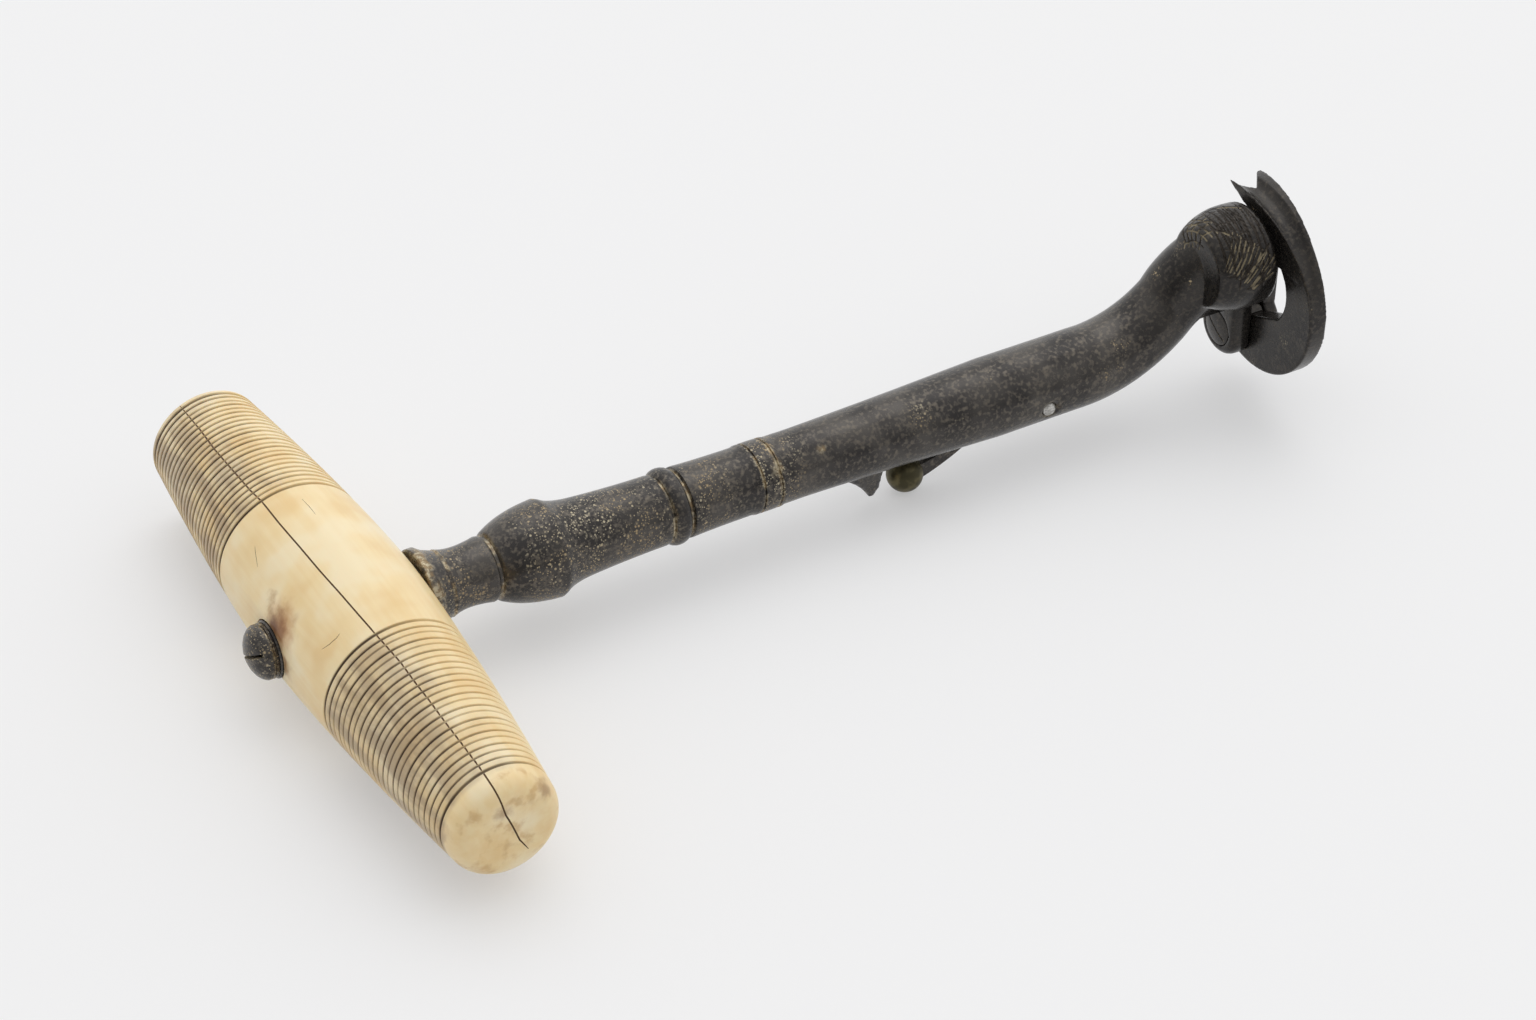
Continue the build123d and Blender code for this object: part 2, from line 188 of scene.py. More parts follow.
near_side = turned_lines(-1, 42.6) + rounded_end(-1, near_lip, near_end, near_face_radius)
far_side = turned_lines(1, 41.4) + rounded_end(1, far_lip, far_end, far_face_radius)
belly = [(y, handle_radius(y)) for y in range(-14, 15, 2)]
handle = turn("ivory_handle", near_side[::-1] + belly + far_side, along_handle, 160)
pick(handle)
bpy.ops.object.mode_set(mode="EDIT")
for side in (-1, 1):
    bpy.ops.mesh.select_all(action="SELECT")
    bpy.ops.mesh.bisect(plane_co=(side * flat_x, 0, 0), plane_no=(side, 0, 0),
                        use_fill=True, clear_outer=True)
bpy.ops.object.mode_set(mode="OBJECT")

# The hole for the shaft's tang, with the washer's seat sunk into the flat
tang_z = -1.2
hole = turn("hole", [(-14, 0), (-14, 4.1), (-10.0, 4.1), (-10.0, 2.65), (14, 2.65), (14, 0)],
            along_shaft, 64)
hole.data.transform(Matrix.Translation((0, 0, tang_z)))


def paint_tree(name):
    """A new material, its node tree and its shader."""
    material = bpy.data.materials.new(name)
    material.use_nodes = True
    tree = material.node_tree
    return material, tree, tree.nodes["Principled BSDF"]


def add_node(tree, kind, inputs, **settings):
    """Adds a node. Each input is a number, a colour, or the output of another node."""
    node = tree.nodes.new(kind)
    for key, value in settings.items():
        setattr(node, key, value)
    for key, value in inputs.items():
        if isinstance(value, bpy.types.NodeSocket):
            tree.links.new(value, node.inputs[key])
        else:
            node.inputs[key].default_value = value
    return node


def work_out(tree, operation, first, second=0.0):
    return add_node(tree, "ShaderNodeMath", {0: first, 1: second}, operation=operation).outputs[0]


def fade(tree, value, start, end):
    """0 up to the start and 1 from the end, with a soft change between them."""
    inputs = {"Value": value, "From Min": start, "From Max": end}
    return add_node(tree, "ShaderNodeMapRange", inputs, interpolation_type="SMOOTHSTEP").outputs[0]


def blend_colours(tree, share, first, second):
    return add_node(tree, "ShaderNodeMix", {0: share, 6: first, 7: second}, data_type="RGBA").outputs[2]


def cloudiness(tree, places, scale, detail=3.0):
    inputs = {"Vector": places, "Scale": scale, "Detail": detail}
    return add_node(tree, "ShaderNodeTexNoise", inputs).outputs[0]


def drawing_places(tree, stretch=(1, 1, 1)):
    """The drawing's millimetres on the finished piece, stretched if the pattern needs it."""
    coordinates = add_node(tree, "ShaderNodeTexCoord", {})
    scale = [1000 * s for s in stretch]
    move = [-1000 * a * s for a, s in zip(axes_cross, stretch)]
    inputs = {"Vector": coordinates.outputs["Object"], "Scale": scale, "Location": move}
    return add_node(tree, "ShaderNodeMapping", inputs).outputs[0]


def near_point(tree, places, point, reach, softness):
    """1 near a point, fading to 0 at the reach, with an uneven edge."""
    away = add_node(tree, "ShaderNodeVectorMath", {0: places, 1: point}, operation="DISTANCE")
    uneven = work_out(tree, "MULTIPLY", cloudiness(tree, places, 0.7, 4.0), softness)
    ragged = work_out(tree, "ADD", away.outputs["Value"], uneven)
    return fade(tree, ragged, reach + softness / 2, softness / 2)


# The ivory's dirt follows how deep a place lies under the smooth radius, between the belly
# and the rounded ends, and keeps off the two flats
ivory, tree, shader = paint_tree("ivory")
places = drawing_places(tree)
split = add_node(tree, "ShaderNodeSeparateXYZ", {0: places})
x, y, z = split.outputs
reach = work_out(tree, "ABSOLUTE", y)
taper = work_out(tree, "MULTIPLY", work_out(tree, "POWER", reach, narrowing_power), narrowing)
smooth_radius = work_out(tree, "SUBTRACT", belly_radius, taper)
squares = work_out(tree, "ADD", work_out(tree, "POWER", work_out(tree, "ABSOLUTE", x), 2.0),
                   work_out(tree, "POWER", work_out(tree, "ABSOLUTE", z), 2.0))
depth = work_out(tree, "SUBTRACT", smooth_radius, work_out(tree, "SQRT", squares))
in_line = fade(tree, depth, 0.05, 0.24)
in_line = work_out(tree, "MULTIPLY", in_line, fade(tree, reach, 15.1, 15.2))
in_line = work_out(tree, "MULTIPLY", in_line, fade(tree, reach, 43.2, 43.1))
in_line = work_out(tree, "MULTIPLY", in_line, fade(tree, work_out(tree, "ABSOLUTE", x), 10.46, 10.40))
grain = cloudiness(tree, drawing_places(tree, (1.6, 0.06, 1.6)), 0.5, 5.0)
clouds = cloudiness(tree, places, 0.13, 2.0)
# The lines are darker on the nut's side of the handle, and lighter towards the shaft's side
toward_shaft = work_out(tree, "ADD", x, work_out(tree, "MULTIPLY", cloudiness(tree, places, 0.2), 12.0))
nut_side = fade(tree, toward_shaft, 12.0, -1.0)
dirt_share = work_out(tree, "ADD", work_out(tree, "MULTIPLY", nut_side, 0.72), 0.24)
dirt = work_out(tree, "MULTIPLY", in_line, dirt_share)
warm = blend_colours(tree, fade(tree, grain, 0.35, 0.65), (0.86, 0.66, 0.35, 1), (0.89, 0.71, 0.41, 1))
pale = work_out(tree, "MULTIPLY", fade(tree, clouds, 0.52, 0.34), 0.55)
warm = blend_colours(tree, pale, warm, (0.92, 0.81, 0.57, 1))
amber = work_out(tree, "MULTIPLY", fade(tree, clouds, 0.50, 0.72), 0.55)
warm = blend_colours(tree, amber, warm, (0.78, 0.52, 0.21, 1))
rim_stain = work_out(tree, "MULTIPLY", fade(tree, reach, 42.8, 44.6),
                     fade(tree, cloudiness(tree, places, 0.42, 6.0), 0.52, 0.72))
warm = blend_colours(tree, work_out(tree, "MULTIPLY", rim_stain, 0.6), warm, (0.58, 0.35, 0.13, 1))
ivory_stains = (
    # Rust from the nut: place, reach, strength and colour
    ((-10.2, -2.6, 4.2), 4.8, 0.95, (0.42, 0.17, 0.035, 1)),
    ((-10.4, -1.6, 3.4), 3.4, 0.95, (0.14, 0.05, 0.015, 1)),
    ((-10.5, -4.5, -0.5), 2.4, 0.9, (0.30, 0.13, 0.04, 1)),
    ((-9.4, 1.2, 5.8), 1.6, 0.6, (0.42, 0.24, 0.09, 1)),
    # Brown spots on the near end
    ((-1.1, -46.7, 4.0), 1.8, 0.7, (0.36, 0.20, 0.09, 1)),
    ((5.1, -45.9, 4.3), 2.0, 0.7, (0.36, 0.20, 0.09, 1)),
    ((-7.8, -42.7, 0.7), 2.2, 0.7, (0.36, 0.20, 0.09, 1)),
)
for point, size, share, stain in ivory_stains:
    mark = work_out(tree, "MULTIPLY", near_point(tree, places, point, size, 3.0), share)
    warm = blend_colours(tree, mark, warm, stain)
# A brown haze lies between the lines, mostly on the nut's side of the handle
lined = work_out(tree, "MULTIPLY", fade(tree, reach, 15.0, 17.0), fade(tree, reach, 43.8, 43.0))
haze = work_out(tree, "MULTIPLY", lined, fade(tree, toward_shaft, 9.0, -2.0))
hazy = fade(tree, cloudiness(tree, drawing_places(tree, (0.5, 0.14, 0.5)), 0.8, 5.0), 0.36, 0.62)
haze_share = work_out(tree, "ADD", work_out(tree, "MULTIPLY", hazy, 0.55), 0.22)
haze = work_out(tree, "MULTIPLY", haze, haze_share)
warm = blend_colours(tree, haze, warm, (0.36, 0.26, 0.16, 1))
colour = blend_colours(tree, dirt, warm, (0.075, 0.045, 0.028, 1))
tree.links.new(colour, shader.inputs["Base Color"])
polish = work_out(tree, "ADD", work_out(tree, "MULTIPLY", in_line, 0.35), 0.30)
polish = work_out(tree, "ADD", polish, work_out(tree, "MULTIPLY", grain, 0.12))
tree.links.new(polish, shader.inputs["Roughness"])
shader.inputs["Subsurface Weight"].default_value = 0.12
shader.inputs["Subsurface Radius"].default_value = (1.0, 0.6, 0.3)
shader.inputs["Subsurface Scale"].default_value = 0.0012
bumps = add_node(tree, "ShaderNodeBump", {"Height": grain, "Strength": 0.12, "Distance": 0.0002})
tree.links.new(bumps.outputs[0], shader.inputs["Normal"])

crack_dirt, tree, shader = paint_tree("crack_dirt")
clouds = cloudiness(tree, drawing_places(tree), 1.2)
colour = blend_colours(tree, clouds, (0.07, 0.035, 0.02, 1), (0.20, 0.11, 0.05, 1))
tree.links.new(colour, shader.inputs["Base Color"])
shader.inputs["Roughness"].default_value = 0.85

# The crack's course: places along the handle, and degrees round it from the shaft's side
crack_course = [
    (42.5, 116.5), (40.4, 116.1), (35.2, 115.3), (29.8, 115.8), (24.2, 114.7), (18.7, 113.6),
    (15.4, 112.0), (9.8, 111.9), (3.9, 110.9), (-1.7, 110.1), (-6.9, 108.6), (-11.3, 107.5),
    (-15.6, 106.2), (-18.7, 105.1), (-21.6, 104.0), (-25.5, 104.2), (-29.4, 103.7), (-33.2, 103.8),
    (-37.0, 103.3), (-41.9, 102.9), (-43.8, 103.3),
]
short_cracks = [
    [(10.2, 134.0), (9.3, 136.8), (8.4, 138.9), (6.6, 143.4)],
    [(-11.4, 143.0), (-12.0, 135.5), (-12.2, 129.0), (-12.0, 124.0)],
    [(13.2, 88.0), (10.4, 87.2), (7.6, 87.6)],
]


def on_handle(y, degrees):
    """A place just over the handle's surface, so that a rod there cuts it to half its depth."""
    angle = math.radians(degrees)
    radius = handle_radius(y) + 0.03
    return Vector((radius * math.cos(angle), y, radius * math.sin(angle)))


crack = [on_handle(y, degrees) for y, degrees in crack_course]
# It goes on over the rounded end, and across the end face to its lower rim
out = math.radians(103.5)
bulge = handle_radius(near_lip) - near_face_radius
for step in range(1, 9):
    angle = math.radians(90 * step / 8)
    radius = near_face_radius + 0.03 + bulge * math.cos(angle)
    y = -near_lip + (near_end + near_lip) * math.sin(angle)
    crack.append(Vector((radius * math.cos(out), y, radius * math.sin(out))))
face_course = ((-0.75, 3.3), (-0.2, 2.0), (0.33, 0.6), (0.75, -0.6), (1.1, -1.6), (1.7, -2.6), (2.3, -3.6))
for x, z in face_course:
    crack.append(Vector((x, near_end + 0.02, z)))
rods = [thin_rod("crack", crack, 0.26)]
for course in short_cracks:
    rods.append(thin_rod("short_crack", [on_handle(y, degrees) for y, degrees in course], 0.14))
handle.data.materials.append(ivory)
hole.data.materials.append(ivory)
combine(handle, hole, "DIFFERENCE")
for rod in rods:
    rod.data.materials.append(crack_dirt)
    combine(handle, rod, "DIFFERENCE")
put_in_place(handle)
pick(handle)
bpy.ops.object.shade_smooth_by_angle(angle=math.radians(28))
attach(handle, "key")
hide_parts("handle")

# Shaft. Foot, bulb, bead and stem are turned; crank, bolster, cheeks and beak are forged and
# filed from the same bar. Its steel is black-brown with age, pitted, and rusty in its lines.
seam_x = 66.0


def arc(start, middle, end, steps):
    """Points from start to end along a curve that bends through the middle point."""
    points = []
    for step in range(steps + 1):
        t = step / steps
        weights = ((1 - t) * (1 - 2 * t), 4 * t * (1 - t), t * (2 * t - 1))
        ends = zip(start, middle, end)
        points.append(tuple(sum(w * v for w, v in zip(weights, values)) for values in ends))
    return points


foot = [(10.5, 0), (10.5, 5.55), (10.7, 5.75), (11.5, 5.78), (11.75, 5.6), (12.5, 5.1),
        (13.6, 4.72), (13.8, 4.55), (14.0, 4.55), (14.2, 4.64)]
neck = arc((14.6, 4.5), (17.0, 4.15), (20.2, 4.5), 8)
neck += [(20.5, 4.46), (20.75, 4.2), (21.15, 4.2), (21.4, 4.7)]
bulb = arc((21.6, 4.86), (25.0, 6.16), (29.2, 6.78), 12) + [(29.45, 6.8), (29.8, 6.66)]
taper = arc((30.0, 6.58), (31.6, 5.86), (34.0, 5.43), 8)
taper += arc((34.6, 5.38), (40.0, 5.06), (45.8, 4.9), 10)
bead = [(46.05, 4.86), (46.25, 4.55), (46.5, 4.55), (46.7, 4.95), (47.0, 5.2), (47.4, 5.34),
        (47.8, 5.37), (48.2, 5.33), (48.6, 5.2), (48.9, 4.95), (49.05, 4.55), (49.35, 4.55),
        (49.6, 4.95)]
stem = arc((49.9, 4.98), (54.0, 4.83), (59.2, 4.77), 10)
scribed_bands = [(59.42, 4.86), (59.6, 4.9), (60.0, 4.9), (60.12, 4.68), (60.28, 4.68), (60.4, 4.9),
                 (61.5, 4.92), (62.6, 4.9), (62.72, 4.68), (62.88, 4.68), (63.0, 4.9), (63.4, 4.9),
                 (63.6, 4.84), (63.85, 4.77), (64.6, 4.76), (65.7, 4.76)]
outline = foot + neck + bulb + taper + bead + stem + scribed_bands
shaft = turn("shaft_turned", outline, along_shaft, 128)
tang = turn("tang", [(-12.6, 0), (-12.6, 2.4), (-12.4, 2.6), (11.5, 2.6), (11.5, 0)], along_shaft, 48)
tang.data.transform(Matrix.Translation((0, 0, tang_z)))
put_in_place(shaft)
put_in_place(tang)


def worked_copy(node, name, voxel, rounds):
    """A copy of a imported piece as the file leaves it: sharp corners taken off, faces even."""
    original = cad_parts[node]
    copy = bpy.data.objects.new(name, original.data.copy())
    bpy.context.scene.collection.objects.link(copy)
    copy.data.materials.clear()
    pick(copy)
    bpy.ops.object.mode_set(mode="EDIT")
    bpy.ops.mesh.select_all(action="SELECT")
    bpy.ops.mesh.remove_doubles(threshold=0.000002)
    bpy.ops.object.mode_set(mode="OBJECT")
    even = copy.modifiers.new("even", "REMESH")
    even.mode = "VOXEL"
    even.voxel_size = voxel
    bpy.ops.object.modifier_apply(modifier=even.name)
    filed = copy.modifiers.new("filed", "SMOOTH")
    filed.factor = 0.5
    filed.iterations = rounds
    bpy.ops.object.modifier_apply(modifier=filed.name)
    return copy


# The forged part, right of the seam, is joined on to the turned part
forged = worked_copy("shaft", "shaft_forged", 0.00033, 4)
bpy.ops.object.mode_set(mode="EDIT")
bpy.ops.mesh.select_all(action="SELECT")
cut_x = axes_cross.x + 0.001 * seam_x
bpy.ops.mesh.bisect(plane_co=(cut_x, 0, 0), plane_no=(-1, 0, 0), clear_outer=True)
bpy.ops.object.mode_set(mode="OBJECT")
pick(shaft)
forged.select_set(True)
bpy.ops.object.join()
bpy.ops.object.mode_set(mode="EDIT")
bpy.ops.mesh.select_all(action="DESELECT")
bpy.ops.mesh.select_non_manifold(extend=False, use_wire=False, use_boundary=True,
                                 use_multi_face=False, use_non_contiguous=False, use_verts=False)
bpy.ops.mesh.bridge_edge_loops()
bpy.ops.mesh.select_all(action="SELECT")
bpy.ops.mesh.normals_make_consistent(inside=False)
bpy.ops.object.mode_set(mode="OBJECT")
combine(shaft, tang, "UNION")

# The bolster is scored all over, so that it holds on the gum's pad. Its scores are cut with
# a graver: rings round it, strokes along it, and a small lattice at its left end.
bolster_y = -3.8
bolster_z = 13.75
bolster_outline = ((127.0, 2.0), (129.0, 5.6), (130.0, 6.2), (131.4, 6.8), (133.2, 7.15),
                   (135.5, 7.35), (137.2, 7.25), (137.8, 6.75))


def bolster_radius(x):
    for (x0, r0), (x1, r1) in zip(bolster_outline, bolster_outline[1:]):
        if x <= x1:
            return r0 + (r1 - r0) * max(0.0, x - x0) / (x1 - x0)
    return bolster_outline[-1][1]


def on_bolster(x, degrees):
    """The steel's surface at a place along the bolster and an angle round it, found by
    feeling inwards from outside. Left of its rim, the way in tilts towards the end face."""
    angle = math.radians(degrees)
    tilt = math.radians(75) * min(1.0, max(0.0, (131.5 - x) / 2.5))
    around = Vector((0, math.cos(angle), math.sin(angle)))
    outwards = Vector((-math.sin(tilt), 0, 0)) + math.cos(tilt) * around
    middle = Vector((max(x, 129.0), bolster_y, bolster_z))
    rim = middle + bolster_radius(x) * around
    outside = axes_cross + 0.001 * (rim + 8 * outwards)
    found, place, normal, face = shaft.ray_cast(outside, -outwards)
    return (place - axes_cross) * 1000 + 0.01 * outwards if found else rim


def score(x0, degrees0, x1, degrees1, half_width, depth, pale):
    """A score's course over the steel, its half width and depth, and how pale its dirt is."""
    steps = max(4, int(abs(degrees1 - degrees0) / 5), int(abs(x1 - x0) / 0.5))
    course = []
    for step in range(steps + 1):
        t = step / steps
        course.append(on_bolster(x0 + (x1 - x0) * t, degrees0 + (degrees1 - degrees0) * t))
    return course, half_width, depth, pale


graver = random.Random(11)
scores = []
# Fine rings over the top, dark with dirt
for number in range(26):
    x = 130.6 + 0.27 * number + graver.uniform(-0.08, 0.08)
    start = graver.uniform(45, 110)
    end = start + graver.uniform(40, 80)
    end_x = x - graver.uniform(0.0, 1.2)
    half_width = graver.uniform(0.11, 0.16)
    pale = graver.uniform(0.0, 0.3)
    scores.append(score(x, start, end_x, end, half_width, 0.13, pale))
# Bolder slanting rings on the near side
for number in range(12):
    t = number / 11
    x = 132.4 + 5.0 * t + graver.uniform(-0.1, 0.1)
    end = 150 + 34 * t + graver.uniform(-4, 4)
    half_width = graver.uniform(0.13, 0.19)
    pale = graver.uniform(0.5, 1.0)
    scores.append(score(x, 112 + 46 * t, 129.6 + 4.0 * t, end, half_width, 0.15, pale))
# Short strokes along it
for number in range(22):
    degrees = 46 + 5.4 * number + graver.uniform(-3, 3)
    start = graver.uniform(129.6, 134.0)
    end = min(start + graver.uniform(0.8, 2.6), 137.3)
    end_degrees = degrees + graver.uniform(-14, 14)
    half_width = graver.uniform(0.11, 0.17)
    pale = graver.uniform(0.0, 0.6)
    scores.append(score(start, degrees, end, end_degrees, half_width, 0.10, pale))
# The lattice at the left end
for number in range(5):
    degrees = 42 + 13 * number
    scores.append(score(127.6, degrees - 4, 131.2, degrees + 5, 0.15, 0.13, 1.0))
for number in range(4):
    x = 127.9 + 0.85 * number
    scores.append(score(x, 38, x + 0.3, 104, 0.15, 0.13, 1.0))
# The deepest ones, which catch the eye
deep_scores = (
    (136.9, 138, 132.0, 167), (137.4, 151, 132.7, 182), (136.6, 171, 133.4, 183),
    (130.6, 96, 132.2, 118), (129.4, 60, 131.2, 84), (133.8, 66, 136.2, 84),
)
for x0, degrees0, x1, degrees1 in deep_scores:
    scores.append(score(x0, degrees0, x1, degrees1, 0.20, 0.18, 1.0))

# The steel is made fine where it is scored, and each score presses its points in
bpy.context.tool_settings.mesh_select_mode = (False, False, True)
pick(shaft)
bpy.ops.object.mode_set(mode="EDIT")
bpy.ops.mesh.select_all(action="DESELECT")
bpy.ops.object.mode_set(mode="OBJECT")
for face in shaft.data.polygons:
    place = (face.center - axes_cross) * 1000
    on_top = place.x > 127.4 and place.z > 9.0 and place.y > -12.5
    face.select = on_top and face.normal.x < 0.3
bpy.ops.object.mode_set(mode="EDIT")
bpy.ops.mesh.subdivide(number_cuts=2)
bpy.ops.object.mode_set(mode="OBJECT")
bpy.context.tool_settings.mesh_select_mode = (True, False, False)


def carve(piece, scores):
    """Presses each score's course into the mesh, rounded across and shallow at its tips, and
    notes at each point how deep it is and how pale its dirt, for the steel's colour."""
    points = [(vertex.co - axes_cross) * 1000 for vertex in piece.data.vertices]
    finder = KDTree(len(points))
    for number, point in enumerate(points):
        finder.insert(point, number)
    finder.balance()
    depths = [0.0] * len(points)
    pales = [0.0] * len(points)
    for course, half_width, depth, pale in scores:
        for number, (start, end) in enumerate(zip(course, course[1:])):
            along = end - start
            from_tip = min(number + 0.6, len(course) - 1.4 - number)
            pressed = depth * min(1.0, 0.3 + 0.4 * from_tip)
            reach = along.length / 2 + half_width
            for point, index, away in finder.find_range((start + end) / 2, reach):
                t = min(1.0, max(0.0, (point - start).dot(along) / along.length_squared))
                share = 1 - ((point - start - along * t).length / half_width) ** 2
                if share > 0 and pressed * share > depths[index]:
                    depths[index] = pressed * share
                    pales[index] = pale * share
    inwards = [-vertex.normal for vertex in piece.data.vertices]
    for vertex, depth, way in zip(piece.data.vertices, depths, inwards):
        if depth > 0:
            vertex.co += way * depth * 0.001
    for name, values in (("score_depth", depths), ("score_pale", pales)):
        layer = piece.data.attributes.new(name, "FLOAT", "POINT")
        layer.data.foreach_set("value", values)


carve(shaft, scores)


def old_steel(name, shade, rusty_rings=(), pitted_stretches=(), pitted_spots=(), rusty_spots=()):
    """Steel with a dark patina, mottled, pitted, and specked with pale dirt where it is rough.
    The shade is how much painted shade darkens its colour towards the head. Rings and
    stretches are places along the shaft; spots are points and how far they reach."""
    material, tree, shader = paint_tree(name)
    places = drawing_places(tree)
    x = add_node(tree, "ShaderNodeSeparateXYZ", {0: places}).outputs[0]
    clouds = cloudiness(tree, places, 0.16, 5.0)
    fine = cloudiness(tree, places, 1.7, 5.0)
    mottled = fade(tree, clouds, 0.36, 0.66)
    colour = blend_colours(tree, mottled, (0.034, 0.031, 0.030, 1), (0.080, 0.073, 0.066, 1))
    colour = blend_colours(tree, fade(tree, fine, 0.46, 0.74), colour, (0.150, 0.130, 0.105, 1))
    # The head has stayed darker than the stem
    # Painted shade: the colour is darkened towards the head, which faces the dim side of the room
    painted_head_shade = work_out(tree, "MULTIPLY", fade(tree, x, 116, 130), shade)
    colour = blend_colours(tree, painted_head_shade, colour, (0.014, 0.012, 0.011, 1))
    patches = cloudiness(tree, places, 0.30, 4.0)
    rough_skin = work_out(tree, "MULTIPLY", fade(tree, patches, 0.62, 0.78), 0.5)
    for start, end in pitted_stretches:
        stretch = fade(tree, x, start - 1, start + 1)
        stretch = work_out(tree, "MULTIPLY", stretch, fade(tree, x, end + 3, end - 3))
        stretch = work_out(tree, "MULTIPLY", stretch, fade(tree, patches, 0.36, 0.54))
        rough_skin = work_out(tree, "MAXIMUM", rough_skin, stretch)
    for point, spread in pitted_spots:
        rough_skin = work_out(tree, "MAXIMUM", rough_skin, near_point(tree, places, point, spread, 1.5))
    # Two sizes of pit; only some of the cells hold one
    specks = None
    for size, wanted in ((1.7, 0.50), (3.2, 0.30)):
        cells = add_node(tree, "ShaderNodeTexVoronoi", {"Vector": places, "Scale": size})
        chance = add_node(tree, "ShaderNodeSeparateXYZ", {0: cells.outputs["Color"]}).outputs[0]
        dot = work_out(tree, "MULTIPLY", fade(tree, cells.outputs["Distance"], 0.36, 0.20),
                       fade(tree, chance, wanted, wanted + 0.2))
        specks = dot if specks is None else work_out(tree, "MAXIMUM", specks, dot)
    specks = work_out(tree, "MULTIPLY", specks, rough_skin)
    browner = fade(tree, clouds, 0.4, 0.6)
    speck_colour = blend_colours(tree, browner, (0.62, 0.55, 0.40, 1), (0.50, 0.38, 0.22, 1))
    colour = blend_colours(tree, work_out(tree, "MULTIPLY", specks, 0.88), colour, speck_colour)
    rust = None
    for ring_x, half_width in rusty_rings:
        off = work_out(tree, "ABSOLUTE", work_out(tree, "SUBTRACT", x, ring_x))
        band = fade(tree, off, half_width * 1.4, half_width * 0.5)
        rust = band if rust is None else work_out(tree, "MAXIMUM", rust, band)
    for point, spread in rusty_spots:
        spot = near_point(tree, places, point, spread, 0.8)
        rust = spot if rust is None else work_out(tree, "MAXIMUM", rust, spot)
    if rust is not None:
        patchy = fade(tree, cloudiness(tree, places, 0.6, 5.0), 0.40, 0.58)
        patchy = work_out(tree, "MULTIPLY", rust, patchy)
        crusty = fade(tree, fine, 0.4, 0.6)
        rust_colour = blend_colours(tree, crusty, (0.27, 0.19, 0.10, 1), (0.52, 0.45, 0.31, 1))
        colour = blend_colours(tree, work_out(tree, "MULTIPLY", patchy, 0.85), colour, rust_colour)
    # Dirt lies in the scores: brown-black, with pale crumbs
    scored = add_node(tree, "ShaderNodeAttribute", {}, attribute_name="score_depth").outputs["Fac"]
    pale = add_node(tree, "ShaderNodeAttribute", {}, attribute_name="score_pale").outputs["Fac"]
    colour = blend_colours(tree, fade(tree, scored, 0.01, 0.08), colour, (0.022, 0.016, 0.011, 1))
    crumbs = work_out(tree, "MULTIPLY", fade(tree, pale, 0.25, 0.75),
                      fade(tree, cloudiness(tree, places, 0.7, 4.0), 0.38, 0.56))
    colour = blend_colours(tree, work_out(tree, "MULTIPLY", crumbs, 0.8), colour, (0.31, 0.26, 0.17, 1))
    tree.links.new(colour, shader.inputs["Base Color"])
    shader.inputs["Metallic"].default_value = 0.6
    gloss = work_out(tree, "ADD", work_out(tree, "MULTIPLY", fine, 0.24), 0.15)
    dull = work_out(tree, "MULTIPLY", work_out(tree, "MAXIMUM", specks, crumbs), 0.4)
    gloss = work_out(tree, "ADD", gloss, dull)
    tree.links.new(gloss, shader.inputs["Roughness"])
    height = work_out(tree, "SUBTRACT", work_out(tree, "MULTIPLY", fine, 0.5), specks)
    bumps = add_node(tree, "ShaderNodeBump", {"Height": height, "Strength": 0.30, "Distance": 0.0001})
    tree.links.new(bumps.outputs[0], shader.inputs["Normal"])
    return material


shaft_steel = old_steel(
    "shaft_steel", 0.66,
    rusty_rings=((11.3, 0.9), (14.0, 0.3), (20.9, 0.35), (46.4, 0.25), (49.2, 0.25), (60.2, 0.25),
                 (62.8, 0.35)),
    pitted_stretches=((12, 19), (24, 46), (50, 55), (60, 66)),
    pitted_spots=(((127.5, -4.5, 12.2), 1.0), ((125.1, 0.5, 11.5), 1.4), ((117.2, -3.6, 4.6), 1.9),
                  ((116.5, -5.0, 2.3), 1.5), ((113.9, -5.3, 1.7), 1.6), ((85, -3, 3.5), 3.0)),
    rusty_spots=(((105.1, -5.4, -1.2), 2.2), ((62.8, -3.5, 3.2), 1.6), ((70, -3, 3.5), 1.2)),
)
shaft.data.materials.clear()
shaft.data.materials.append(shaft_steel)
shaft.name = "forged_shaft"
pick(shaft)
bpy.ops.object.shade_smooth_by_angle(angle=math.radians(40))
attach(shaft, "key")
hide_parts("shaft")

# Claw. It is filed from plate, its two prongs parted by a notch that runs out as a hollow
# down its back. The eye turns on the screw.
claw = worked_copy("claw", "forked_claw", 0.00017, 3)
claw_steel = old_steel(
    "claw_steel", 0.6,
    pitted_spots=(((138.6, -3.5, 20.5), 1.2), ((143, -6, 19.5), 1.4), ((143, -11, 17.5), 1.2),
                  ((139.0, -12, 3.0), 1.5), ((139.0, -4.0, -3.5), 1.0)),
)
claw.data.materials.append(claw_steel)
bpy.ops.object.shade_smooth_by_angle(angle=math.radians(40))
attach(claw, "claw_arm")
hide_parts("claw")

# Claw screw. It is turned, its head let into the near cheek flush and filed over with it.
pivot_y = -0.3
pivot_z = -1.2
screw_head_x = 135.85
screw_outline = [(144.4, 0), (144.4, 1.4), (144.2, 1.62), (137.4, 1.64), (137.3, 2.73), (136.3, 2.73),
                 (136.15, 2.64), (135.95, 1.9), (135.86, 1.0), (screw_head_x, 0)]
screw = turn("screw", screw_outline, along_shaft, 64)


slot_dirt, tree, shader = paint_tree("slot_dirt")
caked = fade(tree, cloudiness(tree, drawing_places(tree), 1.3, 4.0), 0.42, 0.58)
colour = blend_colours(tree, caked, (0.06, 0.05, 0.04, 1), (0.40, 0.34, 0.23, 1))
tree.links.new(colour, shader.inputs["Base Color"])
shader.inputs["Roughness"].default_value = 0.8


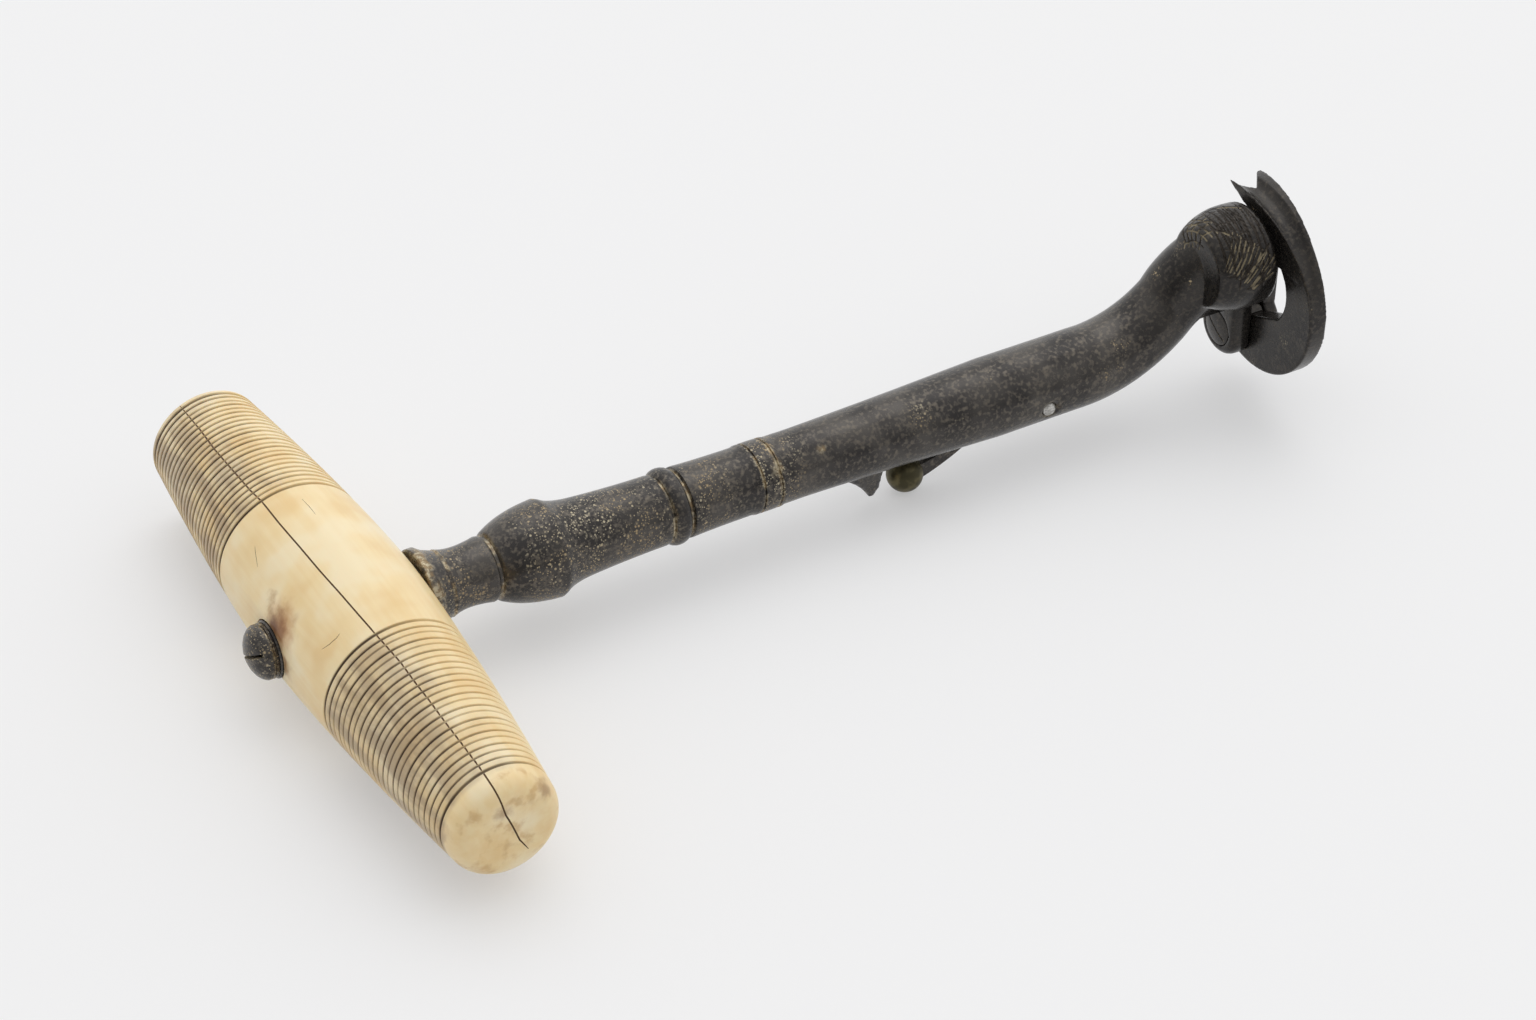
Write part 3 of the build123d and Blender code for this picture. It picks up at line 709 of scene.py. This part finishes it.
def slot_across(piece, end_x, depth, width, degrees):
    """Saws a slot across a piece's left end, before the piece is set off its axis."""
    bpy.ops.object.select_all(action="DESELECT")
    bpy.ops.mesh.primitive_cube_add(size=1.0)
    blade = bpy.context.object
    blade.data.transform(Matrix.Diagonal((2 * depth, 12, width, 1)))
    blade.data.transform(Matrix.Rotation(math.radians(degrees), 4, "X"))
    blade.data.transform(Matrix.Translation((end_x, 0, 0)))
    blade.data.materials.append(slot_dirt)
    combine(piece, blade, "DIFFERENCE")


small_steel = old_steel("small_steel", 0.5)
screw.data.materials.append(small_steel)
slot_across(screw, screw_head_x, 0.22, 0.28, 30)
screw.data.transform(Matrix.Translation((0, pivot_y, pivot_z)))
put_in_place(screw)
pick(screw)
bpy.ops.object.shade_smooth_by_angle(angle=math.radians(35))
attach(screw, "key")
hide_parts("claw_screw")

# Nut and washer at the tang's end. The nut is a turned dome with a sawn slot; it pulls the
# shaft's foot up against the handle.
nut_head_x = -13.9
nut_outline = [(-10.8, 0), (-10.8, 3.6), (-10.9, 3.72), (-11.25, 3.75), (-11.35, 3.55), (-11.5, 3.55),
               (-11.6, 3.74), (-12.0, 3.72), (-12.5, 3.45), (-13.0, 2.95), (-13.4, 2.3), (-13.7, 1.5),
               (-13.86, 0.7), (nut_head_x, 0)]
nut = turn("nut", nut_outline, along_shaft, 96)
nut_steel = old_steel(
    "nut_steel", 0.5,
    rusty_rings=((-11.4, 0.22),),
    pitted_stretches=((-14, -8),),
)
nut.data.materials.append(nut_steel)
slot_across(nut, nut_head_x, 1.3, 0.5, -33)
nut.data.transform(Matrix.Translation((0, 0, tang_z)))
put_in_place(nut)
pick(nut)
bpy.ops.object.shade_smooth_by_angle(angle=math.radians(35))
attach(nut, "key")
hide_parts("tang_nut")


def give_finish(name, finish):
    """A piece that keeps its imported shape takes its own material."""
    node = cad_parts[name]
    node.data.materials.clear()
    node.data.materials.append(finish)


give_finish("tang_washer", small_steel)

# The catch. A brass ball is pinched back along the shaft; the flat bolt, its pin and its
# leaf spring are inside the saw cut, and show only in part.
brass, tree, shader = paint_tree("old_brass")
places = drawing_places(tree)
clouds = cloudiness(tree, places, 0.6, 4.0)
colour = blend_colours(tree, fade(tree, clouds, 0.4, 0.62), (0.06, 0.052, 0.025, 1), (0.14, 0.12, 0.06, 1))
tree.links.new(colour, shader.inputs["Base Color"])
shader.inputs["Metallic"].default_value = 0.7
shader.inputs["Roughness"].default_value = 0.42
bright_steel, tree, shader = paint_tree("bright_steel")
scratched = cloudiness(tree, drawing_places(tree, (1, 1, 6)), 1.6, 4.0)
colour = blend_colours(tree, fade(tree, scratched, 0.4, 0.65), (0.34, 0.33, 0.31, 1), (0.66, 0.65, 0.62, 1))
tree.links.new(colour, shader.inputs["Base Color"])
shader.inputs["Metallic"].default_value = 0.9
shader.inputs["Roughness"].default_value = 0.38
give_finish("catch_bolt", small_steel)
give_finish("return_spring", small_steel)
give_finish("catch_knob", brass)
give_finish("guide_pin", bright_steel)

# The floor: a sheet of white paper that goes on behind the key, out of the camera's view.
bpy.ops.object.select_all(action="DESELECT")
bpy.ops.mesh.primitive_plane_add(size=6.0, location=(0, 0, -0.0001))
floor = bpy.context.object
floor.name = "floor"
paper, tree, shader = paint_tree("paper")
shader.inputs["Base Color"].default_value = (0.88, 0.88, 0.885, 1)
shader.inputs["Roughness"].default_value = 0.8
# The camera sees the thin paper glow a little, so that the shadows on it stay light
glow = add_node(tree, "ShaderNodeEmission", {"Color": (0.87, 0.87, 0.875, 1)})
rays = add_node(tree, "ShaderNodeLightPath", {}).outputs
seen = work_out(tree, "MAXIMUM", rays["Is Camera Ray"], rays["Is Glossy Ray"])
seen = work_out(tree, "MAXIMUM", seen, rays["Is Transmission Ray"])
paper_light = add_node(tree, "ShaderNodeMixShader", {0: work_out(tree, "MULTIPLY", seen, 0.4)})
tree.links.new(shader.outputs[0], paper_light.inputs[1])
tree.links.new(glow.outputs[0], paper_light.inputs[2])
tree.links.new(paper_light.outputs[0], tree.nodes["Material Output"].inputs["Surface"])
floor.data.materials.append(paper)

world = bpy.data.worlds.new("studio")
bpy.context.scene.world = world
world.use_nodes = True
# The room is brighter behind the key and overhead than on the camera's side
tree = world.node_tree
looking = add_node(tree, "ShaderNodeTexCoord", {}).outputs["Generated"]
inputs = {0: looking, 1: (0.45, 0.60, 0.66)}
towards_window = add_node(tree, "ShaderNodeVectorMath", inputs, operation="DOT_PRODUCT").outputs["Value"]
level = add_node(tree, "ShaderNodeMapRange", {"Value": towards_window, "From Min": -0.7, "From Max": 0.9,
                                              "To Min": 0.22, "To Max": 1.16}).outputs[0]
tree.links.new(level, tree.nodes["Background"].inputs["Strength"])
tree.nodes["Background"].inputs["Color"].default_value = (1, 1, 1, 1)

lamp = bpy.data.lights.new("window", "AREA")
lamp.energy = 5.0
lamp.size = 1.5
lamp_object = bpy.data.objects.new("window", lamp)
bpy.context.scene.collection.objects.link(lamp_object)
lamp_object.location = (0.35, 0.55, 1.7)
lamp_object.rotation_euler = (-lamp_object.location).to_track_quat("-Z", "Y").to_euler()
bpy.context.scene.view_settings.view_transform = "Standard"
